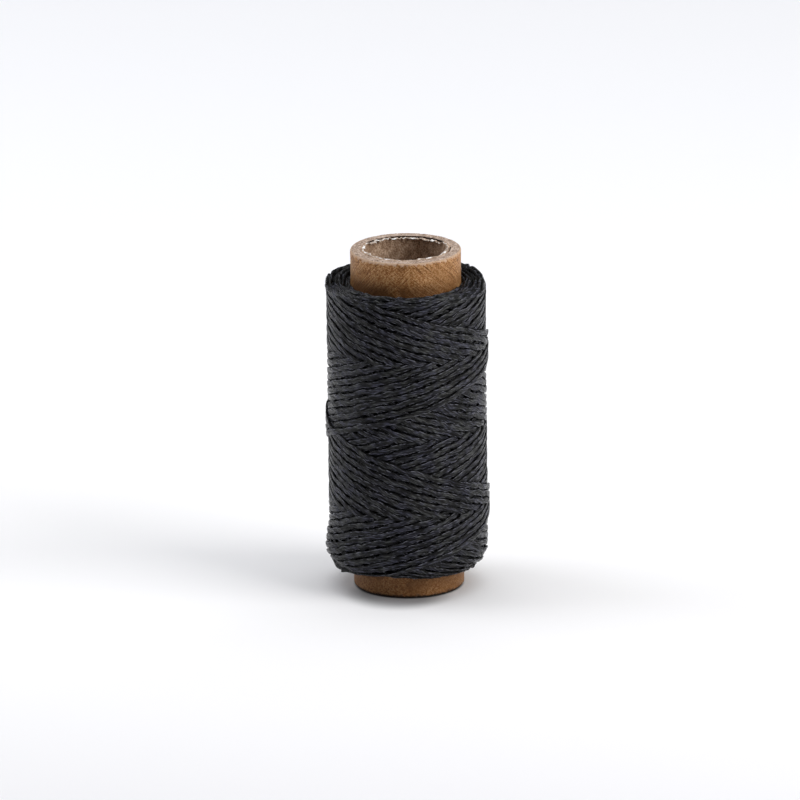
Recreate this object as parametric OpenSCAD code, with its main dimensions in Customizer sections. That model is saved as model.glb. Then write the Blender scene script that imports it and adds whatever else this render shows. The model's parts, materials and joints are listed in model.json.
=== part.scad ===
// Waxed thread spool: flat waxed thread cross-wound on a paper tube that is rolled from five plies.
// Millimetres. The tube stands on the XY plane with its axis on Z; the ends of the thread are at +Y.

/* [Paper tube] */
// Length of the tube
tube_len = 66.2; // [50:0.1:90]
// Diameter of the hole through the tube
bore_d = 16.2; // [12:0.1:25]
// Thickness of the paper ply that lines the bore
liner_t = 0.45; // [0.2:0.05:0.8]
// Thickness of each of the three chipboard plies
board_t = 0.55; // [0.3:0.05:0.9]
// Thickness of the brown kraft paper round the outside
kraft_t = 0.22; // [0.1:0.02:0.5]
// Thickness of the glue film between two plies
glue_t = 0.02; // [0.01:0.01:0.05]
// Radius pressed on the outer edge of both ends
edge_r = 0.4; // [0.2:0.05:0.8]

/* [Wound thread] */
// Bare tube below the thread
collar_bottom = 4.6; // [2:0.1:10]
// Bare tube above the thread
collar_top = 6.2; // [2:0.1:10]
// Depth of the thread on the tube, from the kraft paper to the outermost turns
wound_depth = 4.7; // [3.5:0.1:12]
// Gap between the kraft paper and the first layer of thread
seat_gap = 0.05; // [0.02:0.01:0.1]
// Radius of the shoulders where the layers round over at both ends
shoulder_r = 2.2; // [1:0.1:3]

/* [Outer turns] */
// Width of the flat thread as it lies
strand_w = 1.3; // [0.8:0.05:1.4]
// Thickness of the flat thread as it lies
strand_t = 0.5; // [0.35:0.05:0.6]
// Gap between two strands where one crosses over the other
cross_gap = 0.45; // [0.42:0.01:0.6]
// Gap between the outer turns and the layers under them
lay_gap = 0.03; // [0.02:0.01:0.1]
// Number of times the thread runs up the tube and down again
runs = 6; // [4:1:6]
// Turns in one run up and down, before the step back that sets the next run beside it
run_turns = 4; // [3:1:4]
// Angle over which a strand eases into its reversal
turn_in = 60; // [40:5:80]
// Angle on each side of a reversal over which a strand changes its level
level_ramp = 15; // [10:1:18]
// How far the reversals lap over the shoulders, as an angle of the shoulder's arc
lap_angle = 22; // [0:1:30]

/* [Hidden] */

// Colours of the finishes
liner_colour = [0.50, 0.43, 0.36];
board_colour = [0.66, 0.60, 0.54];
kraft_colour = [0.58, 0.42, 0.25];
layer_colour = [0.07, 0.07, 0.075];
strand_colour = [0.15, 0.15, 0.16];

// Smoothness of the tube, steps of a rounded edge, and rings in one turn of the wound thread
round_fn = 96;
arc_steps = 8;
loop_rings = 24;

// Radii of the plies, from the bore outwards
bore_r = bore_d / 2;
liner_r = bore_r + liner_t;
board_step = board_t + glue_t;
board_in_r = liner_r + glue_t;
kraft_in_r = board_in_r + 3 * board_step;
tube_r = kraft_in_r + kraft_t;
edge_round = min(edge_r, tube_r - bore_r - liner_t);

// The wound thread: its outside, its two ends, and the solid of the layers under the outer turns
wound_r = tube_r + wound_depth;
wound_z0 = collar_bottom;
wound_z1 = tube_len - collar_top;
ring_step = 360 / loop_rings;
chord = cos(ring_step / 2);
layers_r = (wound_r - 2 * strand_t - cross_gap) * chord - lay_gap;
layers_in_r = tube_r + seat_gap;
shoulder = min(shoulder_r, layers_r - layers_in_r - strand_t / 2);

// Heights of a strand's centre above the layers, on the lower and on the upper of its two levels
low_h = (layers_r + lay_gap) / chord - layers_r + strand_t / 2;
high_h = low_h + strand_t + cross_gap;

// Route of the outer turns along the outline of the layers, from lap point to lap point
lap_len = shoulder * lap_angle * PI / 180;
side_len = wound_z1 - wound_z0 - 2 * shoulder;
route_len = side_len + 2 * lap_len;
travel_turn = 360 * (run_turns - 1 / runs) / 2;
rise_rate = route_len / (travel_turn - turn_in);
lay_angle = atan(rise_rate * 180 / PI / layers_r);
winding_turn = 2 * runs * travel_turn;

// The thread's two ends come straight out of the layers, and bend over to lie along them
end_turn = turn_in;
end_run = (strand_w + strand_t) / 2;
end_bend = high_h - end_run;
bend_steps = 3;
end_phase = 90;
first_ring = ceil(end_turn / ring_step) + 1;
last_ring = floor((winding_turn - end_turn) / ring_step) - 1;

// Height of the tube's end at radius r, below the full length
function edge_drop(r) = r <= tube_r - edge_round ? 0
    : edge_round - sqrt(max(0, pow(edge_round, 2) - pow(r - tube_r + edge_round, 2)));

// One ply of the tube between two radii, its ends following the rounded edge
module ply(r_in, r_out) {
    steps = [for (k = [0:arc_steps]) r_in + (r_out - r_in) * k / arc_steps];
    top = [for (r = steps) [r, tube_len - edge_drop(r)]];
    bottom = [for (k = [arc_steps:-1:0]) [steps[k], edge_drop(steps[k])]];
    flat = edge_drop(r_out) == 0;
    outline = flat
        ? [[r_in, 0], [r_in, tube_len], [r_out, tube_len], [r_out, 0]]
        : concat(top, bottom);
    rotate_extrude($fn = round_fn) polygon(outline);
}

// A chipboard ply, counted from the bore
module board_ply(count) {
    r_in = board_in_r + (count - 1) * board_step;
    color(board_colour) ply(r_in, r_in + board_t);
}

// Distance along the outline after turning by y from a reversal, eased at both ends
function rise(y) = y < turn_in ? rise_rate * y * y / (2 * turn_in)
    : y > travel_turn - turn_in
        ? route_len - rise_rate * pow(travel_turn - y, 2) / (2 * turn_in)
        : rise_rate * (y - turn_in / 2);

// Share of the way from the lower to the upper level, on a run up, after turning by y
function lift(y) = y < level_ramp ? (1 - y / level_ramp) / 2
    : y > travel_turn - level_ramp ? (1 - (travel_turn - y) / level_ramp) / 2
    : 0;

// Place along the outline, and height over the layers, after turning by a in all
function travel(a) = floor(a / travel_turn);
function is_up(a) = travel(a) % 2 == 0;
function into(a) = a - travel(a) * travel_turn;
function along(a) = is_up(a) ? rise(into(a)) : route_len - rise(into(a));
function height(a) = low_h + (high_h - low_h) * (is_up(a) ? lift(into(a)) : 1 - lift(into(a)));

// Tilt of the outline at s, and the point of space at turn a, place s and height h
function tilt(s) = (min(0, s - lap_len) + max(0, s - lap_len - side_len)) / shoulder * 180 / PI;
function side_z(s) = wound_z0 + shoulder + min(max(s - lap_len, 0), side_len);
function spot(a, s, h) = let (
        reach = shoulder + h,
        r = layers_r - shoulder + reach * cos(tilt(s)),
        z = side_z(s) + reach * sin(tilt(s)))
    [r * cos(a + end_phase), r * sin(a + end_phase), z];
function across(a, s) = [-sin(tilt(s)) * cos(a + end_phase), -sin(tilt(s)) * sin(a + end_phase),
    cos(tilt(s))];

// Angle turned when moving by x along the surface at height h
function turned(x, h) = x / (layers_r + h) * 180 / PI;

// Stations of the strand, each as [turn, place, height]
function bend_station(a, way, k) = let (
        b = 90 * k / bend_steps,
        h = end_run + end_bend * sin(b),
        t = a + way * turned(end_bend * (1 - cos(b)), h))
    [t, along(t), h];
start_turn = end_turn;
finish_turn = winding_turn - end_turn;
stations = concat(
    [[start_turn, along(start_turn), 0]],
    [for (k = [0:bend_steps]) bend_station(start_turn, 1, k)],
    [for (i = [first_ring:last_ring]) [i * ring_step, along(i * ring_step), height(i * ring_step)]],
    [for (k = [bend_steps:-1:0]) bend_station(finish_turn, -1, k)],
    [[finish_turn, along(finish_turn), 0]]);
count = len(stations);
centres = [for (p = stations) spot(p[0], p[1], p[2])];

// Direction of the strand at a station; it is square to the layers over both straight ends
function unit(v) = v / norm(v);
function heading(i) = i < 2 ? unit(centres[1] - centres[0])
    : i > count - 3 ? unit(centres[count - 1] - centres[count - 2])
    : unit(centres[i + 1] - centres[i - 1]);

// The six corners of the flat strand at a station
hexagon = [for (k = [0:5]) [strand_w / 2 * cos(60 * k), strand_t / 2 * sin(60 * k) / sin(60)]];
function ring(i) = let (
        ahead = heading(i),
        side = across(stations[i][0], stations[i][1]),
        wide = unit(side - (side * ahead) * ahead),
        out = cross(ahead, wide))
    [for (c = hexagon) centres[i] + c[0] * wide + c[1] * out];

// Least gap of the strand to itself, on its rings one or more whole turns apart
function gap(p, q) = let (
        beside = abs(p[1] - q[1]) * cos(lay_angle) - strand_w,
        over = abs(p[2] - q[2]) - strand_t)
    beside > 0 && over > 0 ? norm([beside, over]) : max(beside, over);
function lane(i) = [i * ring_step, along(i * ring_step), height(i * ring_step)];
least_gap = min([for (i = [first_ring:last_ring], k = [i + loop_rings:loop_rings:last_ring])
    gap(lane(i), lane(k))]);

// Paper ply that lines the bore
module liner_ply() {
    color(liner_colour) ply(bore_r, liner_r);
}

module board_ply_1() board_ply(1);
module board_ply_2() board_ply(2);
module board_ply_3() board_ply(3);

// Kraft paper wrapped round the outside of the tube
module kraft_wrap() {
    color(kraft_colour) ply(kraft_in_r, tube_r);
}

// All the layers of thread under the outer turns
module inner_layers() {
    corner = [for (k = [0:arc_steps]) 90 * k / arc_steps];
    low = [for (b = corner) [layers_r - shoulder + shoulder * sin(b),
        wound_z0 + shoulder - shoulder * cos(b)]];
    high = [for (b = corner) [layers_r - shoulder + shoulder * cos(b),
        wound_z1 - shoulder + shoulder * sin(b)]];
    outline = concat([[layers_in_r, wound_z0]], low, high, [[layers_in_r, wound_z1]]);
    color(layer_colour) rotate_extrude($fn = round_fn) polygon(outline);
}

// The outer turns, one unbroken strand laid in crossing runs
module outer_winding() {
    sides = len(hexagon);
    points = [for (i = [0:count - 1]) each ring(i)];
    last = (count - 1) * sides;
    skin = [for (i = [0:count - 2], k = [0:sides - 1]) let (
            a = i * sides + k,
            b = i * sides + (k + 1) % sides)
        each [[a, a + sides, b], [b, a + sides, b + sides]]];
    front = [for (k = [1:sides - 2]) [0, k, k + 1]];
    back = [for (k = [1:sides - 2]) [last, last + k + 1, last + k]];
    echo(str("turns of the outer winding: ", winding_turn / 360 - 2 * end_turn / 360));
    echo(str("least gap of the outer winding to itself: ", least_gap, " mm"));
    color(strand_colour) polyhedron(points, concat(skin, front, back));
}

liner_ply();
board_ply_1();
board_ply_2();
board_ply_3();
kraft_wrap();
inner_layers();
outer_winding();
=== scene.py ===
# %% [markdown]
# # A spool of waxed thread
# Some forty metres of flat black thread, wound in crossing turns on a rolled paper tube. The thread
# is laid by a machine that swings it up and down while the tube turns, so the whole surface follows
# one rule: how far the tube has turned says where the thread is. Geometry Nodes work that rule out.
# The tube is five plies of paper, cut off square and a little torn, so its pieces are lathed meshes
# with rough edges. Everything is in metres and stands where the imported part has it.

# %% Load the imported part
import json
import math

import bpy
from mathutils import Matrix, Vector, noise


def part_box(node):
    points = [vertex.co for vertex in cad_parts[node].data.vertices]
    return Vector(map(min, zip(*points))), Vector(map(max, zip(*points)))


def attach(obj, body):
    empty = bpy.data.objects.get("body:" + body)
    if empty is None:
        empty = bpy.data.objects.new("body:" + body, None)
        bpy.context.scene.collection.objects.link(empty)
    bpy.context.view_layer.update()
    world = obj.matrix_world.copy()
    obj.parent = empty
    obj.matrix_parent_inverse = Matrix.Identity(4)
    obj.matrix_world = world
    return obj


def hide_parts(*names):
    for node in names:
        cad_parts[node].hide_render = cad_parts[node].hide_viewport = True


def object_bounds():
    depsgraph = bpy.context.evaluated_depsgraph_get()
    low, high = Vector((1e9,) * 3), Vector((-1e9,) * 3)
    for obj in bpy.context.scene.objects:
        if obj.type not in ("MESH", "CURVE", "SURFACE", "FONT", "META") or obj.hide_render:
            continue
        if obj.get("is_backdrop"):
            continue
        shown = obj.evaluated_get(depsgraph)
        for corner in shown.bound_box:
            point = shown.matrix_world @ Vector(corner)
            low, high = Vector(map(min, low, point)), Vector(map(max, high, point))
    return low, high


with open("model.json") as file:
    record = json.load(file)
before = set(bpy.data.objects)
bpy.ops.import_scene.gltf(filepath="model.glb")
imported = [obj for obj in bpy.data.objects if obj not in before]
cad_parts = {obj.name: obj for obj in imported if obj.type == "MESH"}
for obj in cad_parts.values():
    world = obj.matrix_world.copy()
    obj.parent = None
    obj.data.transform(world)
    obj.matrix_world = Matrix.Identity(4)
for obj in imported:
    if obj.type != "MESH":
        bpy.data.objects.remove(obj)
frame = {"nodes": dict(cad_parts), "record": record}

cad_bounds = [list(corner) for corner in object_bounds()]
MM = 0.001
scene = bpy.context.scene
print("packed nodes:", sorted(frame["nodes"]))

# %% [markdown]
# ## Sizes
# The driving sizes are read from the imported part. They could be typed in again, but then two places
# would have to agree, and this way the looks follow when a size changes there. What the solids leave
# out, such as the lay of the thread, is set further down in real millimetres.

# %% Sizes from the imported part
tube_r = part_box("kraft_wrap")[1].x
tube_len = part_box("liner_ply")[1].z
liner_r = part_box("liner_ply")[1].x
wound_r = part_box("outer_winding")[1].x
wound_z0, wound_z1 = (corner.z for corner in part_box("inner_layers"))
mounts = {mount["name"]: mount for mount in frame["record"]["mounts"]}
bore_r = mounts["tube_bore"]["dims"]["r_mm"] * MM
print(f"tube {tube_r * 2 / MM:.1f} mm across, {tube_len / MM:.1f} mm long")
print(f"thread wound to {wound_r * 2 / MM:.1f} mm")

# %% [markdown]
# ## The camera
# The view is a long lens looking down by 17 degrees, with the spool small in the frame. The camera
# leans by a fraction of a degree. A short lens close by would make the nearer end of the tube wider,
# so the distance is large and the focal length follows from how much the frame has to take in.

# %% Camera
LOOK_DOWN = math.radians(17.0)
LEAN = math.radians(0.64)
DISTANCE = 3.0
FRAME_WIDTH = 152.0 * MM
SENSOR_WIDTH = 36.0
AIM = Vector((-1.36 * MM, 0.0, 36.12 * MM))

view_back = Vector((0, -math.cos(LOOK_DOWN), math.sin(LOOK_DOWN)))
view_up = Vector((0, math.sin(LOOK_DOWN), math.cos(LOOK_DOWN)))
view_right = Vector((1, 0, 0))
right = view_right * math.cos(LEAN) - view_up * math.sin(LEAN)
up = view_up * math.cos(LEAN) + view_right * math.sin(LEAN)
axes = Matrix((right, up, view_back)).transposed().to_4x4()

lens = bpy.data.cameras.new("camera")
lens.sensor_width = SENSOR_WIDTH
lens.lens = SENSOR_WIDTH * DISTANCE / FRAME_WIDTH
lens.clip_start, lens.clip_end = 0.05, 30.0
camera = bpy.data.objects.new("camera", lens)
camera.matrix_world = Matrix.Translation(AIM + view_back * DISTANCE) @ axes
scene.collection.objects.link(camera)
scene.camera = camera
print(f"lens {lens.lens:.0f} mm, {DISTANCE:.1f} m away")

# %% [markdown]
# ## Writing sums as nodes
# A rule in Geometry Nodes or in a material is a long row of Math nodes. They could be added one by
# one, but the rule would drown in them. A small class lets the sums be written as sums instead: each
# + or * below adds one node and a link, and named inputs stay numbers that can be set on the tree.

# %% Adding and feeding nodes
def plug(tree, value, socket):
    """Feeds a socket with a field, another socket or a plain value."""
    if isinstance(value, Field):
        tree.links.new(value.socket, socket)
    elif isinstance(value, bpy.types.NodeSocket):
        tree.links.new(value, socket)
    else:
        socket.default_value = value


def add_node(tree, kind, inputs=None, **settings):
    """A node with its settings and its inputs, given by name or by number."""
    node = tree.nodes.new(kind)
    for name, value in settings.items():
        setattr(node, name, value)
    for key, value in (inputs or {}).items():
        plug(tree, value, node.inputs[key])
    return node


print("helpers:", plug.__name__, add_node.__name__)


# %% Fields
class Field:
    """A number that a node tree works out at each point."""

    def __init__(self, tree, socket):
        self.tree = tree
        self.socket = socket

    def math(self, operation, *others):
        node = add_node(self.tree, "ShaderNodeMath", operation=operation)
        for slot, value in enumerate((self,) + others):
            plug(self.tree, value, node.inputs[slot])
        return Field(self.tree, node.outputs[0])

    def __add__(self, other):
        return self.math("ADD", other)

    def __sub__(self, other):
        return self.math("SUBTRACT", other)

    def __mul__(self, other):
        return self.math("MULTIPLY", other)

    def __truediv__(self, other):
        return self.math("DIVIDE", other)

    def less_from(self, other):
        """other less this field"""
        return (self * -1.0) + other

    def smooth(self, low, high):
        """0 below low, 1 above high, and eased between them."""
        node = add_node(self.tree, "ShaderNodeMapRange", {0: self, 1: low, 2: high},
                        interpolation_type="SMOOTHSTEP")
        return Field(self.tree, node.outputs[0])

    def choose(self, when_zero, when_one):
        """One of two values, or a mix of them, by this field as the share of the second."""
        return (Field.like(self, when_one) - when_zero) * self + when_zero

    @staticmethod
    def like(other, value):
        """A value as a field of the same tree."""
        if isinstance(value, Field):
            return value
        node = add_node(other.tree, "ShaderNodeValue")
        node.outputs[0].default_value = value
        return Field(other.tree, node.outputs[0])


print("a field knows + - * / and math, less_from, smooth and choose")


# %% Vectors and noise
def vector(x, y, z):
    """Three fields as one vector."""
    tree = next(part.tree for part in (x, y, z) if isinstance(part, Field))
    node = add_node(tree, "ShaderNodeCombineXYZ", {0: x, 1: y, 2: z})
    return Field(tree, node.outputs[0])


def apart(place):
    """A vector as its three fields."""
    parts = add_node(place.tree, "ShaderNodeSeparateXYZ", {0: place})
    return [Field(place.tree, parts.outputs[axis]) for axis in "XYZ"]


def vector_math(operation, a, b=None, scale=None):
    """One step of vector arithmetic."""
    node = add_node(a.tree, "ShaderNodeVectorMath", {0: a}, operation=operation)
    if b is not None:
        plug(a.tree, b, node.inputs[1])
    if scale is not None:
        plug(a.tree, scale, node.inputs["Scale"])
    return Field(a.tree, node.outputs[0])


def noise_over(tree, dimensions="3D", **inputs):
    """Smooth noise from 0 to 1; the place is W in one dimension and Vector in more."""
    node = add_node(tree, "ShaderNodeTexNoise", inputs, noise_dimensions=dimensions)
    return Field(tree, node.outputs[0])


print("helpers:", vector.__name__, apart.__name__, vector_math.__name__, noise_over.__name__)

# %% [markdown]
# ## From a tree to a mesh
# A Geometry Nodes tree works as a modifier on an empty object. It could stay there, but a finished
# piece has to be a plain mesh at the origin, so the result is copied out and the modifier is taken
# off. An input is set by its socket's identifier, because its name is only a label.

# %% Growing a mesh
FLOAT, WHOLE, MATERIAL = "NodeSocketFloat", "NodeSocketInt", "NodeSocketMaterial"


def new_tree(name, inputs):
    """A Geometry Nodes tree with named inputs; returns it and a field for each input."""
    tree = bpy.data.node_groups.new(name, "GeometryNodeTree")
    tree.is_modifier = True
    for label, kind, value in inputs:
        socket = tree.interface.new_socket(label, in_out="INPUT", socket_type=kind)
        if value is not None:
            socket.default_value = value
    tree.interface.new_socket("Geometry", in_out="OUTPUT", socket_type="NodeSocketGeometry")
    source = tree.nodes.new("NodeGroupInput")
    fields = {label: Field(tree, source.outputs[label]) for label, _, _ in inputs}
    return tree, fields


def grow(name, tree, values):
    """Runs a tree on an empty object with these inputs and keeps its result as a plain mesh."""
    holder = bpy.data.objects.new(name, bpy.data.meshes.new(name))
    scene.collection.objects.link(holder)
    modifier = holder.modifiers.new("grow", "NODES")
    modifier.node_group = tree
    sockets = {item.name: item.identifier for item in tree.interface.items_tree
               if item.item_type == "SOCKET" and item.in_out == "INPUT"}
    for label, value in values.items():
        modifier[sockets[label]] = value
    graph = bpy.context.evaluated_depsgraph_get()
    mesh = bpy.data.meshes.new_from_object(holder.evaluated_get(graph), depsgraph=graph)
    holder.modifiers.remove(modifier)
    empty = holder.data
    holder.data = mesh
    bpy.data.meshes.remove(empty)
    mesh.name = name
    triangles = sum(len(face.vertices) - 2 for face in mesh.polygons)
    print(f"{name}: {len(mesh.vertices)} points, {triangles} triangles")
    return holder


print("helpers:", new_tree.__name__, grow.__name__)

# %% [markdown]
# ## How the thread is laid
# While the tube makes a little over two turns, the thread travels from one shoulder to the other;
# then it turns back. A full run up and down takes four turns and one small step more, so each run
# lies just beside the last, and after a set number of runs the surface is covered once by rising
# turns and once by falling ones. Each strand lies on what was laid before, so the place where the
# newest strand of a family lies stands proud of the oldest one next to it by one thread. All of it
# could be drawn as curves by hand, but then no crossing would fall where it has to.

# %% Sizes of the lay
LAY = {
    "Runs to cover": 22.0,        # runs that cover the surface once in each direction
    "Turns in a run": 4.0,        # turns up and down, without the step to the next run
    "Rise": 30.5 * MM,            # rise in one turn of the tube
    "Ease": math.radians(62),     # turn over which a strand eases into its reversal
    "Upper shoulder": 1.8 * MM,   # radius to which the layers round over at the top
    "Lower shoulder": 3.8 * MM,   # and at the bottom
    "Overhang": 0.40 * MM,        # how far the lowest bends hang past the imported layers
    "Upper overhang": 0.28 * MM,  # and the highest bends
    "Bulge": 0.66 * MM,           # how far the lowest turns stand out on the left side
    "Dish": 0.9 * MM,             # how far the ends of the winding sink towards the tube
    "Thread width": 1.21 * MM,
    "Thread thickness": 0.52 * MM,
    "Layer": 0.43 * MM,           # growth of the radius when a strand crosses a place
    "Crest": 0.40 * MM,           # how far the newest turns stand out past the nominal radius
    "Ply length": 3.1 * MM,       # length of one turn of the twisted plies
    "Ply depth": 0.05,            # swelling of the plies, as a share of the thread's size
    "Bunching": 0.45,             # how much narrower the strand is where it turns back
    "Edge wander": 0.62,          # unevenness of the strand's edges, as a share of its width
    "Sway": 0.33 * MM,            # how far the strand strays sideways
    "Nesting": 3.2 * MM,          # length over which neighbours stray together
    "Heave": 0.14 * MM,           # how far it strays up and down
    "Roll": 0.09,                 # slope of the flat strand, whose one edge lies on its neighbour
    "Bend roll": 0.35,            # how much steeper it slopes where it turns back
    "Bend heap": 0.42 * MM,       # how far the bends heap up on one another
    "Tuck": math.radians(24),     # turn over which the loose end dips under its neighbours
}
LAST_BOTTOM = math.radians(-65.4)  # where, seen from the front, the last rising strand starts
LAST_END = math.radians(575.0)     # how far that strand runs before the thread's loose end

run_turn = 2 * math.pi * (LAY["Turns in a run"] + 1 / LAY["Runs to cover"])
travel = run_turn / 2
print(f"one travel takes {travel / (2 * math.pi):.3f} turns")

# %% [markdown]
# ## The route of the thread
# The first rule says how far along the outline the thread is after the tube has turned so far. It
# moves at one rate, and eases into each reversal on a parabola, as a guide does that slows down and
# turns back. A sharp zigzag would be simpler, but wound thread can't turn on the spot.

# %% Route
def climb(turn, size):
    """Place along the outline at a turn, the outline's length, and how far it is to the reversals."""
    whole = (turn / size["Travel"]).math("FLOOR")
    into = turn - whole * size["Travel"]
    falling = whole.math("FLOORED_MODULO", 2.0)
    left = into.less_from(size["Travel"])
    nearest = into.math("MINIMUM", left)

    rate = size["Rise"] / (2 * math.pi)
    eased = size["Ease"]
    reach = nearest.math("MINIMUM", eased)
    start = rate * reach * reach / (eased * 2.0)
    beyond = rate * (nearest - eased).math("MAXIMUM", 0.0)
    near_place = start + beyond
    first_half = into.math("LESS_THAN", left)
    route = rate * (size["Travel"] - eased)
    risen = first_half.choose(near_place.less_from(route), near_place)
    along = falling.choose(risen, risen.less_from(route))
    return along, route, {"whole": whole, "into": into, "left": left, "nearest": nearest,
                          "falling": falling}


print(f"the thread rises {LAY['Rise'] / MM:.1f} mm in one turn")

# %% [markdown]
# ## Bends and layers
# Where the thread turns back it is loose: bends reach a little further or less far than the rule
# says, and the newest heap up on the others. On its way a strand climbs slowly by one layer, because
# each strand that it crosses was laid later than the one before, and from the newest it drops back
# to the oldest in one short step. One radius for all would be simpler, but then strands would run
# through each other. A bend's own amounts are random, with a fixed seed and the bend's number.

# %% Bends and layers
BEND_SPAN = math.radians(85)           # turn beside a reversal over which the strand is loose
TIP_SCATTER = (-0.75 * MM, 0.35 * MM)  # how far past its usual place a strand turns back
HEAP_SHARES = (-0.6, 1.0)              # share of the heap by which a bend lies under or on others
FRESH_TIPS = 6.0                       # how many of the last bends lie on all the others
FRESH_EASE = 5.0                       # over how many of them the heap grows
STEP_DOWN = 0.05                       # share of half a turn in which a strand drops by a layer
TUCK_DEPTH = 1.6                       # depth of the tucked end, in thicknesses of the thread


def drawn(number, low, high, seed):
    """A random number that belongs to a whole number."""
    node = add_node(number.tree, "FunctionNodeRandomValue", {2: low, 3: high, "ID": number,
                                                             "Seed": seed}, data_type="FLOAT")
    return Field(number.tree, node.outputs[1])


def bends(turn, where, size):
    """How loose the strand is near its reversal, how far it goes past it, and how high it heaps."""
    tip = (turn / size["Travel"]).math("ROUND")
    loose = (where["nearest"] / BEND_SPAN).less_from(1.0).math("MAXIMUM", 0.0)
    outward = tip.math("FLOORED_MODULO", 2.0) * 2.0 - 1.0
    past = outward * loose * loose * drawn(tip, *TIP_SCATTER, seed=7)
    fresh = (tip - size["Last run"] * 2.0 + FRESH_TIPS).smooth(0.0, FRESH_EASE)
    heaped = (drawn(tip, *HEAP_SHARES, seed=12) + fresh) * loose * size["Bend heap"]
    return loose, past, heaped


def layers(turn, where, size):
    """How far below its layer's top a strand lies, as a share, and its run's radius, less the last's."""
    run = (where["whole"] / 2.0).math("FLOOR")
    falling = where["falling"]
    per_run = size["Layer"] / size["Runs to cover"]
    crossing_up = where["left"] / math.pi - Field.like(turn, 1.0) / size["Runs to cover"]
    crossing_down = where["into"] / -math.pi
    share = falling.choose(crossing_up, crossing_down).math("FRACT")
    fallen = share.smooth(1.0 - STEP_DOWN, 1.0).less_from(1.0) * (1.0 - STEP_DOWN)
    share = share.math("GREATER_THAN", 1.0 - STEP_DOWN).choose(share, fallen)
    layer = per_run * (run * 2.0 - falling.less_from(1.0) - size["Last run"] * 2.0)
    return share, layer


def laid(turn, size):
    """Where the thread lies at a turn: place, height over its layer, layer, route and looseness."""
    along, route, where = climb(turn, size)
    loose, past, heaped = bends(turn, where, size)
    share, layer = layers(turn, where, size)
    tucked = (turn - size["Finish"] + size["Tuck"]).math("MAXIMUM", 0.0) / size["Tuck"]
    dip = tucked * tucked * size["Thread thickness"] * TUCK_DEPTH
    height = (share * size["Layer"]) * -1.0 + heaped - dip
    return along + past, height, layer, route, loose


print(f"bends are loose over {math.degrees(2 * BEND_SPAN):.0f} degrees of the tube's turn")

# %% [markdown]
# ## The outline of the wound thread
# Wound thread is a cylinder whose two ends round over: gently at the foot, where the bends hang over,
# and more tightly at the top. The ends also sink a little towards the tube, like a shallow dish. A
# place along this outline becomes a radius, a height and a tilt. The strands could be projected onto
# a modelled body, but a formula also gives the way a strand faces, which the sweep needs.

# %% Outline
ON_TUBE = 0.6            # least distance of a strand from the tube, in thicknesses
ON_TUBE_EASE = 0.3 * MM  # how softly the strands settle on the tube
DISH_POWER = 1.5         # how the dish deepens towards the tube


def outline(along, height, layer, route, size):
    """Radius and height of a place on the wound thread's outline, and the way it faces."""
    lower, upper = size["Lower shoulder"], size["Upper shoulder"]
    bottom = size["Wound bottom"] - size["Overhang"]
    side = size["Wound top"] + size["Upper overhang"] - bottom - lower - upper
    lap = (route - side) * lower / (lower + upper)
    under = (along - lap).math("MINIMUM", 0.0)
    over = (along - lap - side).math("MAXIMUM", 0.0)
    tilt = under / lower + over / upper
    level = (along - lap).math("MAXIMUM", 0.0).math("MINIMUM", side)
    shoulder = under.math("LESS_THAN", 0.0).choose(upper, lower)
    arm = shoulder + height
    crown = size["Wound radius"] + size["Crest"] + layer
    radius = crown - shoulder + arm * tilt.math("COSINE")
    on_tube = size["Tube radius"] + size["Thread thickness"] * ON_TUBE
    radius = radius.math("SMOOTH_MAX", on_tube, ON_TUBE_EASE)
    depth = (layer * -1.0).math("MAXIMUM", 0.0) / (size["Wound radius"] - size["Tube radius"])
    dish = depth.math("POWER", DISH_POWER) * size["Dish"]
    z = bottom + lower + level + (arm - dish) * tilt.math("SINE")
    return radius, z, tilt


print(f"shoulders {LAY['Upper shoulder'] / MM:.1f} and {LAY['Lower shoulder'] / MM:.1f} mm")

# %% [markdown]
# ## Points that know their place
# The tree starts from bare points, one for each ring of the strand. Each point knows how far the
# tube has turned when it is laid, and from that come the side it faces, its place and its height.
# Two kinds of noise make the lay less even: one changes along the thread, as the tension does, and
# one belongs to a place on the spool, so that neighbours stray together and don't cut each other.
# A bezier curve could be drawn through a few places, but nine metres of it need a rule.

# %% Points of the strand
SLOW_WAVES = 1.1       # waves of the slow sway in one radian of the tube's turn
QUICK_WAVES = 7.0      # of the quick sway
HEAVE_WAVES = 3.0      # and of the heave
QUICK_SHARE = 0.35     # strength of the quick sway beside the slow one
NEST_SHARE = 2.6       # strength of the sway that neighbours share
BULGE_START = (0.3 * MM, 3.3 * MM)  # where along the outline the lower bulge grows
BULGE_END = (4.6 * MM, 9.2 * MM)    # and where it fades
BULGE_SIDE = (0.2, 0.9)             # how far round to the left it starts and is full
WAY_SHARE = 1.05       # length of a slanting strand, as a share of its level way round the spool


def wobble(tree, turn, waves, amount, seed):
    """A smooth random amount that changes along the thread."""
    return (noise_over(tree, "1D", W=turn + seed, Scale=waves, Detail=1.0) - 0.5) * amount * 2.0


def carry(tree, geometry, values):
    """Keeps fields on a geometry's points, so that later nodes can still read them."""
    keep = add_node(tree, "GeometryNodeCaptureAttribute", {"Geometry": geometry})
    for label, (kind, value) in values.items():
        keep.capture_items.new(kind, label)
        plug(tree, value, keep.inputs[label])
    return keep.outputs[0], {label: Field(tree, keep.outputs[label]) for label in values}


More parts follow.
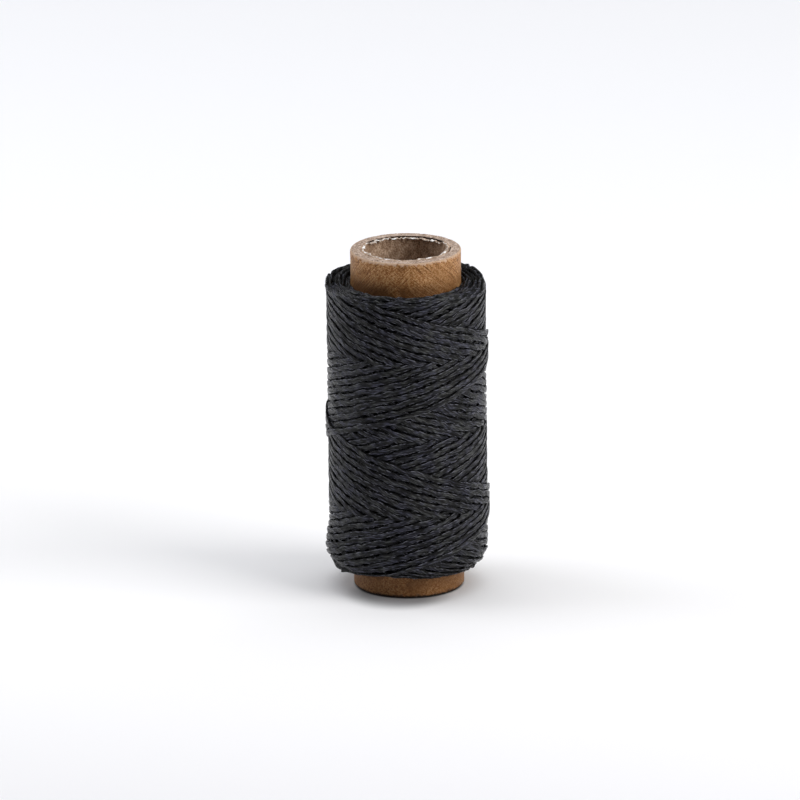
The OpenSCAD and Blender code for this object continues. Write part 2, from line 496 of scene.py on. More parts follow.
def strand_points(tree, size):
    """The points with what they carry, and the fields that number them and their arcs."""
    index = Field(tree, tree.nodes.new("GeometryNodeInputIndex").outputs[0])
    arc = (index / size["Rings"]).math("FLOOR")
    ring = index - arc * size["Rings"]
    turn = size["Start"] + arc * size["Arc spacing"] + ring * size["Step"]

    along, height, layer, route, loose = laid(turn, size)
    facing = turn + size["Facing"]
    sine, cosine = facing.math("SINE"), facing.math("COSINE")
    around_tube = size["Wound radius"] / size["Nesting"]
    here = vector(around_tube * sine, around_tube * cosine, along / size["Nesting"])
    nested = noise_over(tree, Vector=here, Scale=1.0, Detail=1.0)
    sway = size["Sway"]
    along = along + wobble(tree, turn, SLOW_WAVES, sway, 3.0)
    along = along + wobble(tree, turn, QUICK_WAVES, sway * QUICK_SHARE, 91.0)
    along = along + (nested - 0.5) * sway * NEST_SHARE
    height = height + wobble(tree, turn, HEAVE_WAVES, size["Heave"], 17.0)
    low_turns = along.smooth(*BULGE_START) * along.smooth(*BULGE_END).less_from(1.0)
    height = height + low_turns * (sine * -1.0).smooth(*BULGE_SIDE) * size["Bulge"]

    radius, z, tilt = outline(along, height - size["Thread thickness"] / 2.0, layer, route, size)
    centre = vector(radius * sine, radius * cosine * -1.0, z)
    flat = tilt.math("COSINE")
    normal = vector(flat * sine, flat * cosine * -1.0, tilt.math("SINE"))
    count = size["Rings"] * size["Arcs"]
    points = add_node(tree, "GeometryNodePoints", {"Count": count, "Position": centre})
    points, kept = carry(tree, points.outputs[0], {
        "centre": ("VECTOR", centre), "normal": ("VECTOR", normal),
        "laid": ("FLOAT", turn * (size["Wound radius"] * WAY_SHARE)),
        "turn": ("FLOAT", turn), "loose": ("FLOAT", loose)})
    return points, kept, index, arc


print(f"the lay strays by {LAY['Sway'] / MM:.2f} mm sideways, {LAY['Heave'] / MM:.2f} mm up")

# %% [markdown]
# ## From points to a strand
# The points become a curve and a ring of twelve points is swept along it. The sweep alone would give
# a round tube, so afterwards each point of the ring is set again: far out across the strand, little
# through it, with two twisted plies and ragged edges. The real thread is flat because its wax lets
# it be pressed so, and its filaments stray at both edges. A flat ribbon would be lighter, but the
# strands are seen from the side at every crossing, so they need their thickness.

# %% Section of the strand
TWIST_WAVES = 3.0        # waves of the uneven twist in one radian of the tube's turn
TWIST_DRIFT = 3.0        # how far the twist strays, in radians
EDGE_TEAR = 2.8 * MM     # length of one waver of a strand's edge
EDGES_APART = 500.0      # sets the noise of the two edges far apart
SIDE_POWER = 0.8         # how square the strand is at its edges, below 1 for fuller
FACE_POWER = 0.55        # and how flat it is on its faces


def section(tree, kept, ahead, angle, size):
    """A ring point's way from the strand's middle, with its distance across and its lift."""
    across = vector_math("NORMALIZE", vector_math("CROSS_PRODUCT", kept["normal"], ahead))
    lift, reach = angle.math("SINE"), angle.math("COSINE")
    twist = kept["laid"] * (2 * math.pi) / size["Ply length"]
    twist = twist + wobble(tree, kept["turn"], TWIST_WAVES, TWIST_DRIFT, 41.0)
    crest = (angle * 2.0 - twist).math("COSINE") * size["Ply depth"]
    on_edge = kept["laid"] / EDGE_TEAR + reach.math("SIGN") * EDGES_APART
    ragged = (noise_over(tree, "1D", W=on_edge, Scale=1.0, Detail=1.5) - 0.5) * size["Edge wander"]
    bunched = kept["loose"] * size["Bunching"] * -1.0 + 1.0
    square = reach.math("SIGN") * reach.math("ABSOLUTE").math("POWER", SIDE_POWER)
    wide = square * (crest + ragged + 1.0) * bunched * size["Thread width"] / 2.0
    blunt = lift.math("SIGN") * lift.math("ABSOLUTE").math("POWER", FACE_POWER)
    roll = size["Roll"] + size["Bend roll"] * kept["loose"]
    thick = blunt * (crest + 1.0) / bunched * size["Thread thickness"] / 2.0 + wide * roll
    out = vector_math("ADD", vector_math("SCALE", across, scale=wide),
                      vector_math("SCALE", kept["normal"], scale=thick))
    return out, wide, lift


def swept_strand(tree, size):
    """The strand's mesh, with its width and lift as fields and what its points carried."""
    points, kept, index, arc = strand_points(tree, size)
    strand = add_node(tree, "GeometryNodePointsToCurves",
                      {"Points": points, "Curve Group ID": arc, "Weight": index})
    tangent = tree.nodes.new("GeometryNodeInputTangent").outputs[0]
    curve, heading = carry(tree, strand.outputs[0], {"ahead": ("VECTOR", tangent)})
    circle = add_node(tree, "GeometryNodeCurvePrimitiveCircle", {"Resolution": size["Sides"]})
    place_round = index * (2 * math.pi) / size["Sides"]
    ring, round_it = carry(tree, circle.outputs[0], {"around": ("FLOAT", place_round)})
    swept = add_node(tree, "GeometryNodeCurveToMesh",
                     {"Curve": curve, "Profile Curve": ring, "Fill Caps": True})
    out, wide, lift = section(tree, kept, heading["ahead"], round_it["around"], size)
    shaped = add_node(tree, "GeometryNodeSetPosition", {
        "Geometry": swept.outputs[0], "Position": vector_math("ADD", kept["centre"], out)})
    return shaped.outputs[0], kept, wide, lift


print(f"strand {LAY['Thread width'] / MM:.2f} by {LAY['Thread thickness'] / MM:.2f} mm")

# %% [markdown]
# ## The winding tree
# The finished strand stores two things for its material: how high a point lies on the strand, and a
# UV map whose first number is the length along the thread. Unwrapping nine metres by hand would be
# hopeless, and here both numbers are known anyway. The tree ends in plain geometry with its material.

# %% Winding tree
RAISED = (0.35, 0.95)    # between which heights on the strand its face begins
CHART_SCALE = 100.0      # one unit of the UV map is a centimetre


def winding_tree():
    """Thread laid on the spool, as one long strand or as many short arcs at the reversals."""
    numbers = dict(LAY)
    numbers.update({"Travel": travel, "Last run": 0.0, "Finish": 1000.0, "Facing": 0.0,
                    "Wound bottom": wound_z0, "Wound top": wound_z1, "Wound radius": wound_r,
                    "Tube radius": tube_r, "Start": 0.0, "Step": 0.02, "Arc spacing": 0.0})
    counts = {"Rings": 100, "Arcs": 1, "Sides": 12}
    inputs = [(label, FLOAT, value) for label, value in numbers.items()]
    inputs += [(label, WHOLE, value) for label, value in counts.items()]
    tree, size = new_tree("Laid thread", inputs + [("Material", MATERIAL, None)])

    strand, kept, wide, lift = swept_strand(tree, size)
    marked = add_node(tree, "GeometryNodeStoreNamedAttribute", {
        "Geometry": strand, "Name": "raised", "Value": lift.math("ABSOLUTE").smooth(*RAISED)},
        data_type="FLOAT", domain="POINT")
    chart = add_node(tree, "GeometryNodeStoreNamedAttribute", {
        "Geometry": marked.outputs[0], "Name": "UVMap"}, data_type="FLOAT2", domain="CORNER")
    plug(tree, vector(kept["laid"] * CHART_SCALE, wide * CHART_SCALE, 0.0), chart.inputs["Value"])
    smooth = add_node(tree, "GeometryNodeSetShadeSmooth", {"Geometry": chart.outputs[0]})
    solid = add_node(tree, "GeometryNodeRealizeInstances", {"Geometry": smooth.outputs[0]})
    dressed = add_node(tree, "GeometryNodeSetMaterial", {"Geometry": solid.outputs[0],
                                                         "Material": size["Material"]})
    tree.links.new(dressed.outputs[0], tree.nodes.new("NodeGroupOutput").inputs[0])
    return tree


winding = winding_tree()
print(f"winding tree: {len(winding.nodes)} nodes")

# %% [markdown]
# ## Lamps and sky
# The spool stands between two large soft lamps, with a third above it. The stronger one is on the
# right, and both stand well to the side, so its two sides are lighter than the middle. Small lamps
# would be brighter on the wax but would draw hard shadows. The sky gives little light; only the
# camera sees it as nearly white, through Light Path, so that low views have a pale background too.

# %% Studio
LAMP_AIM = Vector((0, 0, 0.035))
SKY_COLOUR = (0.93, 0.95, 1.0, 1.0)
SKY_LIGHT = 0.10         # strength of the sky as a light
SKY_SEEN = 0.96          # and as the camera sees it


def soft_lamp(name, place, size, power, colour):
    """A square lamp that faces the spool."""
    light = bpy.data.lights.new(name, "AREA")
    light.size, light.energy, light.color = size, power, colour
    lamp = bpy.data.objects.new(name, light)
    lamp.location = place
    lamp.rotation_euler = (LAMP_AIM - Vector(place)).to_track_quat("-Z", "Y").to_euler()
    scene.collection.objects.link(lamp)
    print(f"{name}: {power} W, {size} m wide")


soft_lamp("lamp_right", (0.68, -0.31, 0.42), size=0.55, power=5.4, colour=(1.0, 0.985, 0.96))
soft_lamp("lamp_left", (-0.78, 0.20, 0.46), size=0.60, power=3.6, colour=(0.97, 0.98, 1.0))
soft_lamp("lamp_above", (0.04, 0.22, 1.00), size=1.40, power=9.6, colour=(1.0, 1.0, 1.0))

world = bpy.data.worlds.new("studio")
scene.world = world
world.use_nodes = True
sky = world.node_tree
backdrop = sky.nodes["Background"]
backdrop.inputs["Color"].default_value = SKY_COLOUR
sky_seen = Field(sky, add_node(sky, "ShaderNodeLightPath").outputs["Is Camera Ray"])
plug(sky, sky_seen * (SKY_SEEN - SKY_LIGHT) + SKY_LIGHT, backdrop.inputs["Strength"])
scene.view_settings.view_transform = "Standard"

# %% [markdown]
# ## Material helpers
# A material is a Principled shader whose colour, roughness and bump come from fields. The same few
# steps come back in each: placing a shared pattern, turning a field into colours with a ramp, mixing
# two colours, and turning a height into bump. Written once, they keep each finish readable.

# %% Materials and colours
MIX_SHARE, MIX_UNDER, MIX_OVER, MIX_RESULT = 0, 6, 7, 2   # sockets of a Mix node set to colours


def new_material(name, **constants):
    """A material with a Principled shader whose plain values are set on its own sockets."""
    material = bpy.data.materials.new(name)
    material.use_nodes = True
    shader = material.node_tree.nodes["Principled BSDF"]
    for label, value in constants.items():
        shader.inputs[label.replace("_", " ")].default_value = value
    return material, material.node_tree, shader


def ramp(tree, value, stops):
    """A colour ramp over a field; stops are (place, colour)."""
    node = add_node(tree, "ShaderNodeValToRGB", {0: value})
    keys = node.color_ramp.elements
    while len(keys) < len(stops):
        keys.new(1.0)
    for key, (place, colour) in zip(keys, stops):
        key.position = place
        key.color = (*colour, 1.0)
    return Field(tree, node.outputs[0])


def mixed(tree, share, under, over, blend="MIX"):
    """Two colours mixed by a field."""
    node = add_node(tree, "ShaderNodeMix", data_type="RGBA", blend_type=blend)
    plug(tree, share, node.inputs[MIX_SHARE])
    for slot, value in ((MIX_UNDER, under), (MIX_OVER, over)):
        plug(tree, (*value, 1.0) if isinstance(value, tuple) else value, node.inputs[slot])
    return Field(tree, node.outputs[MIX_RESULT])


print("helpers:", new_material.__name__, ramp.__name__, mixed.__name__)


# %% Patterns and relief
def placed(tree, group, output, **values):
    """One copy of a shader group in a material, as the field that it puts out."""
    node = add_node(tree, "ShaderNodeGroup", node_tree=group)
    for label, value in values.items():
        plug(tree, value, node.inputs[label])
    return Field(tree, node.outputs[output])


def on_piece(tree):
    """The point of the piece itself, which stays put in every view."""
    return Field(tree, add_node(tree, "ShaderNodeTexCoord").outputs["Object"])


def bump(tree, shader, height, distance, strength=1.0):
    """Feeds the shader's normal from a height field, with the relief's depth in metres."""
    node = add_node(tree, "ShaderNodeBump", {"Height": height, "Distance": distance,
                                             "Strength": strength})
    tree.links.new(node.outputs[0], shader.inputs["Normal"])


print("helpers:", placed.__name__, on_piece.__name__, bump.__name__)

# %% [markdown]
# ## The sheet
# The spool stands on a plain white sheet, which isn't part of it. Its tone is painted falloff of the
# light: darker towards the front and past a line far behind. The lamps are so large that hardly any
# shade is left under the foot and the overhanging thread, where a real sheet is darkest. A smaller
# lamp would mend that but harden every other shadow, so shade is painted on the sheet there: softly
# in front of the foot, and nearly black right under it. Far away, where no lamp reaches, it shines
# for the camera alone.

# %% Sheet
SHEET_PAINTED_FALLOFF = [(0.10, (0.82, 0.82, 0.85)), (0.35, (0.955, 0.955, 0.975)),
               (0.784, (0.98, 0.98, 0.99)), (0.792, (0.945, 0.952, 0.985))]
SHEET_NEAR, SHEET_DEPTH = 0.20, 0.5   # where the tones begin and how deep they reach
SHADE, CONTACT = (0.40, 0.40, 0.415), (0.012, 0.010, 0.010)
FAR_GLOW = (0.80, 0.80, 0.83)
HALF = 4.0               # half the sheet's width


def round_from(beside, depth, x, y):
    """Distance of a point on the sheet from a place on it."""
    left, front = beside - x, depth - y
    return (left * left + front * front).math("SQRT")


def sheet_material():
    """White paper with its shade under the foot, and a far part that only the camera sees lit."""
    material, tree, shader = new_material("white_sheet", Roughness=0.75, Emission_Strength=1.0)
    beside, depth, _ = apart(on_piece(tree))
    # Painted falloff: the sheet's tone is darker towards the front and past a far line.
    colour = ramp(tree, (depth + SHEET_NEAR) / SHEET_DEPTH, SHEET_PAINTED_FALLOFF)
    under_thread = round_from(beside, depth, -2.0 * MM, -8.0 * MM).smooth(5.5 * MM, 11.5 * MM)
    colour = mixed(tree, under_thread, SHADE, colour)
    under_foot = round_from(beside, depth, 0.0, -0.7 * MM).smooth(9.9 * MM, 10.7 * MM)
    colour = mixed(tree, under_foot, CONTACT, colour)
    tree.links.new(colour.socket, shader.inputs["Base Color"])
    seen = Field(tree, add_node(tree, "ShaderNodeLightPath").outputs["Is Camera Ray"])
    far = round_from(beside, depth, 0.0, 0.0).smooth(0.5, 1.5) * seen
    glow = mixed(tree, far, (0.0, 0.0, 0.0), FAR_GLOW)
    tree.links.new(glow.socket, shader.inputs["Emission Color"])
    return material


sheet = bpy.data.meshes.new("white_sheet")
sheet.from_pydata([(-HALF, -HALF, 0), (HALF, -HALF, 0), (HALF, HALF, 0), (-HALF, HALF, 0)], [],
                  [(0, 1, 2, 3)])
sheet.materials.append(sheet_material())
floor = bpy.data.objects.new("white_sheet", sheet)
scene.collection.objects.link(floor)
floor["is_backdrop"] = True
print(f"sheet: {2 * HALF:.0f} m wide, {len(sheet.materials[0].node_tree.nodes)} nodes")

# %% [markdown]
# ## Shared patterns
# Paper and thread share three effects, each a shader group with its own numbers to set. Streaks run
# round the tube on a spiral, as fibres do in paper that is wound on a slant. Mottling is soft cloudy
# unevenness. Fibre lines run along a strand. Image textures could show all three, but noise needs no
# file, has no seam and stays sharp from any distance.

# %% Groups
def group_tree(name, sizes, result):
    """A shader node group with named numbers; returns it, a field for each, and its output socket."""
    tree = bpy.data.node_groups.new(name, "ShaderNodeTree")
    for label, value in sizes.items():
        tree.interface.new_socket(label, in_out="INPUT", socket_type=FLOAT).default_value = value
    tree.interface.new_socket(result, in_out="OUTPUT", socket_type=FLOAT)
    source = tree.nodes.new("NodeGroupInput")
    fields = {label: Field(tree, source.outputs[label]) for label in sizes}
    return tree, fields, tree.nodes.new("NodeGroupOutput").inputs[0]


print("helper:", group_tree.__name__)

# %% [markdown]
# ## Streaks, mottling and fibre lines
# The streaks come from noise that is stretched along Z and twisted round it: the object's own
# coordinates are turned about the axis by an angle that grows with the height. The mottling is noise
# with its contrast set by two limits. The fibre lines are noise over the strand's UV map, stretched
# along the thread and a little slanted, as twisted filaments are.

# %% Three patterns
def spiral_streaks():
    """Streaks on a spiral round Z: 0 to 1, with 0.5 as the average."""
    tree, size, out = group_tree("Spiral streaks", {
        "Twist": 100.0, "Scale": 1500.0, "Stretch": 0.05, "Detail": 3.0, "Shift": 0.0}, "Streak")
    place = on_piece(tree)
    twist = apart(place)[2] * size["Twist"]
    turned = add_node(tree, "ShaderNodeVectorRotate", {"Vector": place, "Angle": twist},
                      rotation_type="Z_AXIS")
    flat = vector_math("MULTIPLY", Field(tree, turned.outputs[0]),
                       vector(size["Scale"], size["Scale"], size["Scale"] * size["Stretch"]))
    shifted = vector_math("ADD", flat, vector(size["Shift"], size["Shift"], size["Shift"]))
    plug(tree, noise_over(tree, Vector=shifted, Scale=1.0, Detail=size["Detail"], Roughness=0.6), out)
    return tree


def cloudiness():
    """Soft clouds with a chosen contrast: 0 to 1."""
    tree, size, out = group_tree("Mottling", {"Scale": 300.0, "Low": 0.4, "High": 0.6,
                                              "Detail": 4.0}, "Cloud")
    clouds = noise_over(tree, Vector=on_piece(tree), Scale=size["Scale"], Detail=size["Detail"],
                        Roughness=0.55)
    plug(tree, clouds.smooth(size["Low"], size["High"]), out)
    return tree


def fibre_lines():
    """Fine lines along a strand, from its UV map: 0 to 1."""
    tree, size, out = group_tree("Fibre lines", {"Along": 30.0, "Across": 900.0, "Slant": 0.2,
                                                 "Detail": 2.0}, "Line")
    chart = Field(tree, add_node(tree, "ShaderNodeUVMap", uv_map="UVMap").outputs[0])
    along, across, _ = apart(chart)
    place = vector(along * size["Along"], (across + along * size["Slant"]) * size["Across"], 0.0)
    plug(tree, noise_over(tree, "2D", Vector=place, Scale=1.0, Detail=size["Detail"]), out)
    return tree


STREAKS, MOTTLING, FIBRES = spiral_streaks(), cloudiness(), fibre_lines()
print("shader groups:", STREAKS.name, MOTTLING.name, FIBRES.name)

# %% [markdown]
# ## Waxed thread
# Polyester filaments, dyed black and drawn through wax. The filaments lie nearly along the strand, so
# lines of three widths follow its UV map. The widest split the strand here and there. The black in
# those splits and along the strand's edges is painted shade, for the dark gaps between strands. Where
# a strand's face turns into its edge, a broken pale line is painted on as a highlight. The wax leaves
# some places greyer, warmer or cooler than others. A plain dark grey with some gloss would read as
# plastic; it is the lines and the painted black between the strands that make it thread.

# %% Thread materials
PAINTED_GAP_SHADE = (0.0004, 0.0004, 0.0005)
WARM_WAX, COOL_WAX = (1.03, 1.05, 0.87), (0.95, 0.955, 1.14)   # the colour is multiplied by these
EDGE_HIGHLIGHT = 2.8             # how much paler the painted highlight on a strand's edge is than the thread


def thread_material(name, dark, light, gloss, highlight_share, shade=0.0):
    """Black waxed filaments; gloss is the average roughness, highlight_share the strength of the pale
    highlight painted on a strand's edges, and shade how far the painted shade at its edges spreads over
    it."""
    material, tree, shader = new_material(name, Specular_IOR_Level=0.14)
    line = placed(tree, FIBRES, "Line", Along=2.8, Across=26.0, Slant=0.22, Detail=1.5)
    fine = placed(tree, FIBRES, "Line", Along=8.0, Across=50.0, Slant=0.18, Detail=1.5)
    coarse = placed(tree, FIBRES, "Line", Along=1.4, Across=18.0, Slant=0.10, Detail=1.5)
    bloom = placed(tree, MOTTLING, "Cloud", Scale=330.0, Low=0.36, High=0.70, Detail=5.0)
    wax = placed(tree, MOTTLING, "Cloud", Scale=420.0, Low=0.38, High=0.62, Detail=3.0)
    height = add_node(tree, "ShaderNodeAttribute", attribute_name="raised").outputs["Fac"]
    split = coarse.smooth(0.34, 0.39)

    tone = line * 0.38 + fine * 0.62 + bloom * 0.06
    middle = tuple((a + b) * 0.25 for a, b in zip(dark, light))
    colour = ramp(tree, tone, [(0.40, dark), (0.52, middle), (0.65, light)])
    colour = mixed(tree, 1.0, colour, mixed(tree, wax, WARM_WAX, COOL_WAX), "MULTIPLY")
    edge = Field(tree, height) + (coarse - 0.5) * 0.35
    past_rim = edge.smooth(0.50 + shade, 0.75 + shade).less_from(1.0)
    # Painted highlight: a broken pale line on the strand's edge, where its face turns down.
    rim = edge.smooth(0.26 + shade, 0.40 + shade) * past_rim * fine.smooth(0.50, 0.58)
    colour = mixed(tree, rim * highlight_share, colour, tuple(part * EDGE_HIGHLIGHT for part in light))
    # Painted shade: the strand's edges and its splits are painted nearly black, for the dark gaps
    # between strands.
    inside = edge.smooth(0.16 + shade, 0.32 + shade) * (split * 0.95 + 0.05)
    shown = mixed(tree, inside, PAINTED_GAP_SHADE, colour)
    tree.links.new(shown.socket, shader.inputs["Base Color"])
    plug(tree, (line - 0.5) * -0.6 + bloom * 0.08 + gloss, shader.inputs["Roughness"])
    bump(tree, shader, line * 0.55 + fine * 0.45 + split * 0.2, 0.45 * MM)
    return material


WAXED_THREAD = thread_material("waxed_thread", (0.0010, 0.0010, 0.0013), (0.060, 0.061, 0.073),
                               gloss=0.30, highlight_share=1.0, shade=0.09)
# The bends are the same thread painted lighter, as a painted highlight, with wider painted shade at
# their edges.
BENT_THREAD = thread_material("bent_thread", (0.0010, 0.0010, 0.0013), (0.072, 0.073, 0.086),
                              gloss=0.42, highlight_share=0.7, shade=0.20)
# The buried layers are the same thread painted nearly black, as painted shade of the depth under the
# strands.
BURIED_THREAD = thread_material("buried_thread", (0.004, 0.004, 0.004), (0.010, 0.010, 0.011),
                                gloss=0.55, highlight_share=0.0)
print("thread finishes:", WAXED_THREAD.name, BENT_THREAD.name, BURIED_THREAD.name)

# %% [markdown]
# ## Outer turns
# The strand that shows is one piece of thread about nine metres long. It is cut into four meshes at
# places where one ends exactly as the next begins, because a single mesh would be too heavy to
# export. Twelve sides are enough for a strand of this size, with a ring every third of a millimetre.

# %% Outer turns
RUNS = int(LAY["Runs to cover"])
STRAND_PIECES = 4
RING_STEP = 0.32 * MM
MEAN_WAY = 1.024         # the same with the level reversals counted in, to place the rings

whole_turn = 2 * travel * RUNS + LAST_END
strand_length = whole_turn * wound_r * MEAN_WAY
rings = int(strand_length / RING_STEP / STRAND_PIECES) + 2
part_turn = whole_turn / STRAND_PIECES
shared = {"Facing": LAST_BOTTOM, "Last run": float(RUNS), "Finish": whole_turn,
          "Material": WAXED_THREAD}
outer_turns = []
for number in range(STRAND_PIECES):
    values = dict(shared, Start=part_turn * number, Step=part_turn / (rings - 1), Rings=rings)
    outer_turns.append(grow(f"outer_turns_{number + 1}", winding, values))
print(f"{strand_length:.2f} m of thread shows, in {rings} rings a piece")

# %% [markdown]
# ## Reversals
# Both ends of the wound thread are a staircase of bends, where older turns went round before they
# were covered. Winding all forty metres would show them too, at many times the weight. The same tree
# makes only the bends instead, as short arcs some runs apart, with the radius growing from the tube
# outwards as the spool fills. They lie more quietly than the outer turns, under whose load they are.

# %% Reversals at both ends
OLD_RUNS = 99
SHOWN_EACH = 2           # of so many old bends one lies on top, and the others lie under it
BEND_REACH = math.radians(76)
BEND_RINGS = 84
QUIET = {"Edge wander": 0.3, "Heave": 0.10 * MM, "Sway": 0.24 * MM}

reversals = []
for name, tip in (("reversals_bottom", 0), ("reversals_top", 1)):
    first_tip = travel * (tip - 2 * OLD_RUNS)
    values = dict(shared, Start=first_tip - BEND_REACH, Step=2 * BEND_REACH / (BEND_RINGS - 1),
                  Rings=BEND_RINGS, Arcs=OLD_RUNS // SHOWN_EACH, Sides=12, Material=BENT_THREAD)
    values["Arc spacing"] = 2 * travel * SHOWN_EACH
    values.update(QUIET)
    reversals.append(grow(name, winding, values))
print(f"{OLD_RUNS // SHOWN_EACH} old bends show at each end")

# %% [markdown]
# ## Turning a piece round the axis
# The rest of the spool is round: packed thread and plies of paper. A Screw modifier or a spun curve
# could turn them, but these pieces are rough in a way that changes round the tube. So the lathe here
# takes an outline and a small function that moves each point, and closes the mesh both ways.

# %% Lathe
def new_piece(name, points, faces, material):
    """A smooth-shaded piece at the origin, from its points and faces."""
    mesh = bpy.data.meshes.new(name)
    mesh.from_pydata(points, [], faces)
    mesh.materials.append(material)
    mesh.polygons.foreach_set("use_smooth", [True] * len(faces))
    mesh.update()
    piece = bpy.data.objects.new(name, mesh)
    scene.collection.objects.link(piece)
    print(f"{name}: {len(points)} points, {2 * len(faces)} triangles")
    return piece


def lathe(name, outline_points, steps, shape, material):
    """Turns a closed outline round Z; shape(angle, radius, height) moves each point."""
    points = []
    for radius, height in outline_points:
        for step in range(steps):
            angle = 2 * math.pi * step / steps
            r, z = shape(angle, radius, height)
            points.append((r * math.sin(angle), -r * math.cos(angle), z))
    rows = len(outline_points)
    faces = []
    for row in range(rows):
        low, high = row * steps, (row + 1) % rows * steps
        for step in range(steps):
            beside = (step + 1) % steps
            faces.append((low + step, low + beside, high + beside, high + step))
    return new_piece(name, points, faces, material)


def between(start, end, steps):
    """Evenly spaced numbers, both ends included."""
    return [start + (end - start) * step / steps for step in range(steps + 1)]


def rough(angle, height, spacing, seed, radius=0.0):
    """Seeded noise round the tube, between -1 and 1 or so, with no seam."""
    reach = tube_r + radius
    place = Vector((reach * math.sin(angle), -reach * math.cos(angle), height)) / spacing
    return noise.noise(place + Vector((seed * 3.1, seed * 1.7, seed * 5.3)))


print("helpers:", lathe.__name__, between.__name__, rough.__name__)

# %% [markdown]
# ## Packed layers
# Between the strands one sees only the dark of the layers below. Those layers could be wound as
# well, but nothing of them can be told apart. A closed solid with a faint relief of crossing strands
# fills that depth, so that no light comes through the gaps, and a fine spiral stands for the oldest
# bends at its two ends, which sink towards the tube as the strands above them do.

# %% Packed layers
PACKED_LOWER, PACKED_UPPER = 3.0 * MM, 1.6 * MM   # radii of the shoulders under the strands
PACKED_SINK = 0.6 * MM   # how far the ends lie inside the strands'
PACKED_STEPS = 400       # steps round
FOOT_ROWS, CORNER_ROWS, SIDE_ROWS, TOP_ROWS = 12, 8, 60, 14
OFF_TUBE = 0.02 * MM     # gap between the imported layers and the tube
END_WIDTH = 1.65 * MM    # the ends' own relief starts this far inside the side
BEND_PITCH = 0.80 * MM   # from one old bend to the next
BEND_GROOVE = 0.11 * MM
BEND_STRAY = 0.35 * MM
SIDE_GROOVE = 0.08 * MM

crown_r = wound_r + LAY["Crest"]
packed_r = crown_r - 2 * LAY["Layer"] - 0.9 * LAY["Thread thickness"]


def packed_outline(radius, lower, upper, sink):
    """Outline of the wound layers, sunk below the strands at both ends."""
    low, high = wound_z0 + sink, wound_z1 - sink
    inside = tube_r + OFF_TUBE
    arc = between(0, math.pi / 2, CORNER_ROWS)
    points = [(r, low) for r in between(inside, radius - lower, FOOT_ROWS)[:-1]]
    points += [(radius - lower + lower * math.sin(a), low + lower - lower * math.cos(a))
               for a in arc]
    points += [(radius, z) for z in between(low + lower, high - upper, SIDE_ROWS)[1:-1]]
    points += [(radius - upper + upper * math.cos(a), high - upper + upper * math.sin(a))
               for a in arc]
    return points + [(r, high) for r in between(radius - upper, inside, TOP_ROWS)[1:]]


def packed_shape(angle, radius, height):
    """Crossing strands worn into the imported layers, and a spiral of old bends at their ends."""
    if radius < packed_r - END_WIDTH:
        away = radius + BEND_STRAY * rough(angle, height, 3.0 * MM, 61)
        spiral = math.cos(2 * math.pi * away / BEND_PITCH - angle)
        depth = max(0.0, crown_r - radius) / (wound_r - tube_r)
        sink = BEND_GROOVE * (1 - spiral) + depth ** DISH_POWER * LAY["Dish"]
        return radius, height - math.copysign(sink, height - tube_len / 2)
    slope = 2 * math.pi / LAY["Rise"]
    runs = LAY["Runs to cover"]
    up_strands = math.cos(runs * (angle - height * slope))
    down_strands = math.cos(runs * (angle + height * slope))
    return radius + SIDE_GROOVE * (up_strands + down_strands - 2), height


packed_section = packed_outline(packed_r, PACKED_LOWER, PACKED_UPPER, PACKED_SINK)
packed_layers = lathe("packed_layers", packed_section, PACKED_STEPS, packed_shape, BURIED_THREAD)

# %% [markdown]
# ## Marks on the tube's paper
# The tube is wound from strips of paper, with kraft paper outside. Its cut edges are rubbed by hands,
# and beside the thread it is darker, partly from wax that it has drawn in and partly as painted shade.
# Both marks follow the height on the tube, so each is a group that measures the distance from an end
# or from the thread. They could be painted on, but then they wouldn't move when a size does.

# %% Worn ends and waxed paper
def worn_ends():
    """Where a cut end is rubbed, and at the foot also where painted shade darkens the edge: 1 at both
    ends of the tube and 0 past a ragged depth.
    """
    tree, size, out = group_tree("Worn ends", {"Length": 0.1, "Depth": 0.001, "Ragged": 0.001},
                                 "Worn")
    place = on_piece(tree)
    z = apart(place)[2]
    rag = noise_over(tree, Vector=place, Scale=1400.0, Detail=4.0, Roughness=0.65)
    inside = z.math("MINIMUM", z.less_from(size["Length"]))
    depth = (inside + (rag - 0.5) * size["Ragged"] * 2.0) / size["Depth"]
    plug(tree, depth.smooth(0.5, 1.5).less_from(1.0), out)
    return tree


def wax_and_shade_zone():
    """Where the paper is darker beside the thread, partly from wax and partly as painted shade: 1 beside
    the thread and 0 past a depth from it.
    """
    tree, size, out = group_tree("Waxed zone", {"Bottom": 0.005, "Top": 0.06,
                                                "Depth below": 8.0 * MM,
                                                "Depth above": 3.1 * MM}, "Waxed")
    z = apart(on_piece(tree))[2]
    below = (size["Bottom"] - z) / size["Depth below"]
    above = (z - size["Top"]) / size["Depth above"]
    plug(tree, below.math("MAXIMUM", above).smooth(0.0, 1.0).less_from(1.0), out)
    return tree


WORN_ENDS, WAX_AND_SHADE_ZONE = worn_ends(), wax_and_shade_zone()
print("shader groups:", WORN_ENDS.name, WAX_AND_SHADE_ZONE.name)

# %% [markdown]
# ## Kraft paper
# Brown, slightly waxy paper. It is wound on a slant, so its fibres run diagonally, and the scratches
# from handling cross them: to the left of the front mostly one way and to the right the other. The
# upper end has been handled and is scratched and rubbed pale, while the foot is plainer. Beside the
# thread and towards the foot the paper is darker, partly from wax and partly as painted shade, less so
# on the lit right side, and the foot's edge is painted nearly black as the shade where it meets the
# sheet. One noise for all of it would look like cork, so each mark has its own pattern, and they are
# laid over one another as the marks were.

# %% Patterns of the kraft paper
KRAFT_TONES = [(0.39, (0.195, 0.077, 0.022)), (0.50, (0.380, 0.176, 0.062)),
               (0.61, (0.530, 0.304, 0.142))]
STAIN, WAX_AND_SHADE_BROWN = (0.215, 0.096, 0.028), (0.095, 0.036, 0.010)
DARK_SCRATCH, PALE_SCRATCH = (0.070, 0.026, 0.007), (0.640, 0.420, 0.220)
PALE_EDGE, FOOT_EDGE_SHADE = (0.52, 0.36, 0.25), (0.030, 0.014, 0.006)
PAPER_RELIEF = 0.12 * MM


